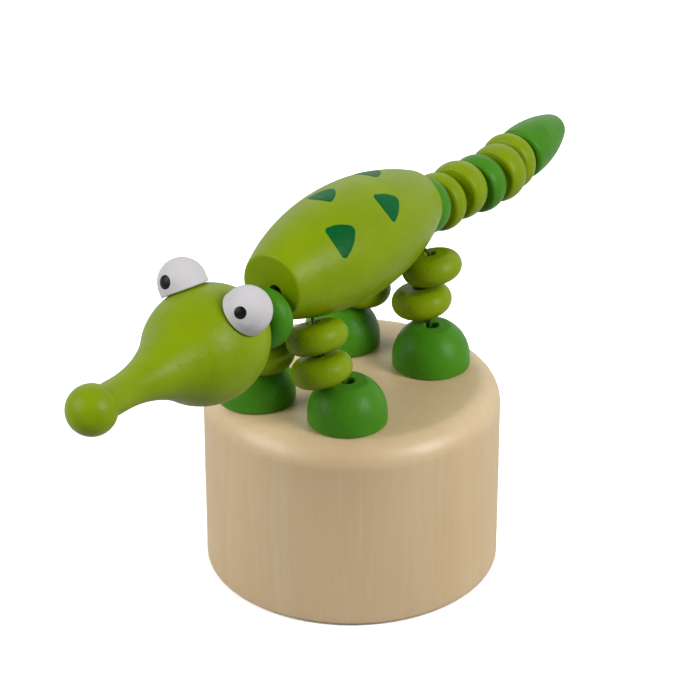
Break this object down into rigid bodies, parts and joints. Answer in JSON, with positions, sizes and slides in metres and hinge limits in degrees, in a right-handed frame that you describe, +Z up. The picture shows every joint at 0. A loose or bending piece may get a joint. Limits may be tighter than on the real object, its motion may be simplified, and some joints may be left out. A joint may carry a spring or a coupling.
{
  "type": "push puppet",
  "caption": "Wooden push puppet: a green crocodile of strung beads on a round bare-wood base; a sprung button under the base makes it sag and stand",
  "frame": {"origin": "centre of the base's underside, on the table", "axes": "+Z up, the nose points toward -Y, +X is the crocodile's left"},
  "size_m": [0.05, 0.136, 0.0688],
  "materials": {
    "bare_wood": "sanded, thin clear coat",
    "lime_paint": "satin lime paint over turned wood",
    "green_paint": "satin dark green paint over turned wood",
    "white_paint": "satin white paint over turned wood",
    "black_paint": "gloss black paint",
    "thread": "twisted thread",
    "spring_steel": "plain drawn wire"
  },
  "bodies": {
    "stand": {"base": "bare_wood", "foot_front_left": "green_paint", "foot_front_right": "green_paint", "foot_rear_left": "green_paint", "foot_rear_right": "green_paint", "thread_front_left": "thread", "thread_front_right": "thread", "thread_rear_left": "thread", "thread_rear_right": "thread", "return_spring": "spring_steel"},
    "button": {"push_button": "bare_wood"},
    "torso": {"body": "lime_paint"},
    "neck": {"neck_bead": "green_paint"},
    "skull": {"head": "lime_paint", "eye_left": "white_paint", "eye_right": "white_paint", "pupil_left": "black_paint", "pupil_right": "black_paint"},
    "tail_end": {"tail_tip": "green_paint"},
    "lower_front_left": {"lower_bead_front_left": "lime_paint"},
    "upper_front_left": {"upper_bead_front_left": "lime_paint"},
    "lower_front_right": {"lower_bead_front_right": "lime_paint"},
    "upper_front_right": {"upper_bead_front_right": "lime_paint"},
    "lower_rear_left": {"lower_bead_rear_left": "lime_paint"},
    "upper_rear_left": {"upper_bead_rear_left": "lime_paint"},
    "lower_rear_right": {"lower_bead_rear_right": "lime_paint"},
    "upper_rear_right": {"upper_bead_rear_right": "lime_paint"},
    "tail_1": {"tail_bead_1": "green_paint"},
    "tail_2": {"tail_bead_2": "lime_paint"},
    "tail_3": {"tail_bead_3": "lime_paint"},
    "tail_4": {"tail_bead_4": "green_paint"},
    "tail_5": {"tail_bead_5": "lime_paint"},
    "tail_6": {"tail_bead_6": "lime_paint"}
  },
  "joints": [
    {"name": "button_push", "type": "slide", "parent": "stand", "child": "button", "axis": [0, 0, 1], "range_m": [0, 0.006], "stiffness_N_per_m": 300, "springref_m": -0.02, "deforming": ["return_spring", "thread_front_left", "thread_front_right", "thread_rear_left", "thread_rear_right"]},
    {"name": "lower_lean_front_left", "type": "hinge", "parent": "stand", "child": "lower_front_left", "pos_m": [0, -0.0164, 0.07953], "axis": [1, 0, 0], "range_deg": [-1.5, 0]},
    {"name": "upper_lean_front_left", "type": "hinge", "parent": "lower_front_left", "child": "upper_front_left", "pos_m": [0, -0.0164, 0.00771], "axis": [1, 0, 0], "range_deg": [0, 2]},
    {"name": "lower_lean_front_right", "type": "hinge", "parent": "stand", "child": "lower_front_right", "pos_m": [0, -0.02007, 0.08091], "axis": [1, 0, 0], "range_deg": [-1.5, 0]},
    {"name": "upper_lean_front_right", "type": "hinge", "parent": "lower_front_right", "child": "upper_front_right", "pos_m": [0, -0.01353, 0.00619], "axis": [1, 0, 0], "range_deg": [0, 2]},
    {"name": "lower_lean_rear_left", "type": "hinge", "parent": "stand", "child": "lower_rear_left", "pos_m": [0, 0.01121, 0.08109], "axis": [1, 0, 0], "range_deg": [-1.5, 0]},
    {"name": "upper_lean_rear_left", "type": "hinge", "parent": "lower_rear_left", "child": "upper_rear_left", "pos_m": [0, 0.01509, 0.00691], "axis": [1, 0, 0], "range_deg": [0, 2]},
    {"name": "lower_lean_rear_right", "type": "hinge", "parent": "stand", "child": "lower_rear_right", "pos_m": [0, 0.01301, 0.08113], "axis": [1, 0, 0], "range_deg": [-1.5, 0]},
    {"name": "upper_lean_rear_right", "type": "hinge", "parent": "lower_rear_right", "child": "upper_rear_right", "pos_m": [0, 0.01039, 0.00617], "axis": [1, 0, 0], "range_deg": [0, 2]},
    {"name": "torso_settle", "type": "slide", "parent": "stand", "child": "torso", "axis": [0, -1, 0], "range_m": [0, 0.0024]},
    {"name": "neck_nod", "type": "hinge", "parent": "torso", "child": "neck", "pos_m": [0, -0.02247, 0.05233], "axis": [1, 0, 0], "range_deg": [0, 8]},
    {"name": "head_nod", "type": "hinge", "parent": "neck", "child": "skull", "pos_m": [0, -0.02815, 0.05233], "axis": [1, 0, 0], "range_deg": [0, 12]},
    {"name": "tail_droop_1", "type": "hinge", "parent": "torso", "child": "tail_1", "pos_m": [0, 0.0188, 0.05414], "axis": [1, 0, 0], "range_deg": [-7, 0]},
    {"name": "tail_droop_2", "type": "hinge", "parent": "tail_1", "child": "tail_2", "pos_m": [0, 0.0241, 0.05284], "axis": [1, 0, 0], "range_deg": [-9, 0]},
    {"name": "tail_droop_3", "type": "hinge", "parent": "tail_2", "child": "tail_3", "pos_m": [0, 0.0294, 0.05284], "axis": [1, 0, 0], "range_deg": [-9, 0]},
    {"name": "tail_droop_4", "type": "hinge", "parent": "tail_3", "child": "tail_4", "pos_m": [0, 0.0347, 0.05278], "axis": [1, 0, 0], "range_deg": [-9, 0]},
    {"name": "tail_droop_5", "type": "hinge", "parent": "tail_4", "child": "tail_5", "pos_m": [0, 0.04, 0.05278], "axis": [1, 0, 0], "range_deg": [-9, 0]},
    {"name": "tail_droop_6", "type": "hinge", "parent": "tail_5", "child": "tail_6", "pos_m": [0, 0.0453, 0.05303], "axis": [1, 0, 0], "range_deg": [-9, 0]},
    {"name": "tail_droop_end", "type": "hinge", "parent": "tail_6", "child": "tail_end", "pos_m": [0, 0.0506, 0.05303], "axis": [1, 0, 0], "range_deg": [-9, 0]}
  ],
  "couplings": [
    {"joint": "lower_lean_front_left", "follows": "button_push", "rad_per_m": -4.3633},
    {"joint": "upper_lean_front_left", "follows": "button_push", "rad_per_m": 5.8178},
    {"joint": "lower_lean_front_right", "follows": "button_push", "rad_per_m": -4.3633},
    {"joint": "upper_lean_front_right", "follows": "button_push", "rad_per_m": 5.8178},
    {"joint": "lower_lean_rear_left", "follows": "button_push", "rad_per_m": -4.3633},
    {"joint": "upper_lean_rear_left", "follows": "button_push", "rad_per_m": 5.8178},
    {"joint": "lower_lean_rear_right", "follows": "button_push", "rad_per_m": -4.3633},
    {"joint": "upper_lean_rear_right", "follows": "button_push", "rad_per_m": 5.8178},
    {"joint": "torso_settle", "follows": "button_push", "ratio": 0.4},
    {"joint": "neck_nod", "follows": "button_push", "rad_per_m": 23.271},
    {"joint": "head_nod", "follows": "button_push", "rad_per_m": 34.907},
    {"joint": "tail_droop_1", "follows": "button_push", "rad_per_m": -20.362},
    {"joint": "tail_droop_2", "follows": "button_push", "rad_per_m": -26.18},
    {"joint": "tail_droop_3", "follows": "button_push", "rad_per_m": -26.18},
    {"joint": "tail_droop_4", "follows": "button_push", "rad_per_m": -26.18},
    {"joint": "tail_droop_5", "follows": "button_push", "rad_per_m": -26.18},
    {"joint": "tail_droop_6", "follows": "button_push", "rad_per_m": -26.18},
    {"joint": "tail_droop_end", "follows": "button_push", "rad_per_m": -26.18}
  ]
}
